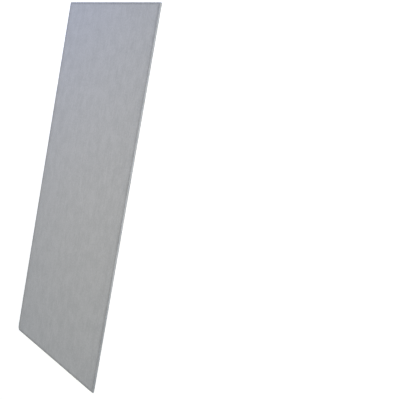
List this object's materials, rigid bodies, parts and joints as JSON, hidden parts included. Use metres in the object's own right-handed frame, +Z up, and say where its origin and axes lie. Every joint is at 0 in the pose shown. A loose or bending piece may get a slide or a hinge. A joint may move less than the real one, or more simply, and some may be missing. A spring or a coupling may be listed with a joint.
{
  "type": "drywall sheet",
  "caption": "Flat gypsum board lined with grey paper, with paper-wrapped tapered long edges and bare square-cut ends, for lining walls and ceilings.",
  "frame": {"origin": "centre of the underside, at the outer surface of the back paper", "axes": "+X along the sheet from the cut end with the bruised corner to the other cut end, +Y across the sheet, +Z up out of the face side"},
  "size_m": [2.4, 1.2, 0.0125],
  "materials": {
    "gypsum": "matte",
    "face_liner": "matte",
    "back_liner": "matte"
  },
  "bodies": {
    "root": {"gypsum_core": "gypsum", "face_paper": "face_liner", "back_paper": "back_liner"}
  },
  "joints": []
}
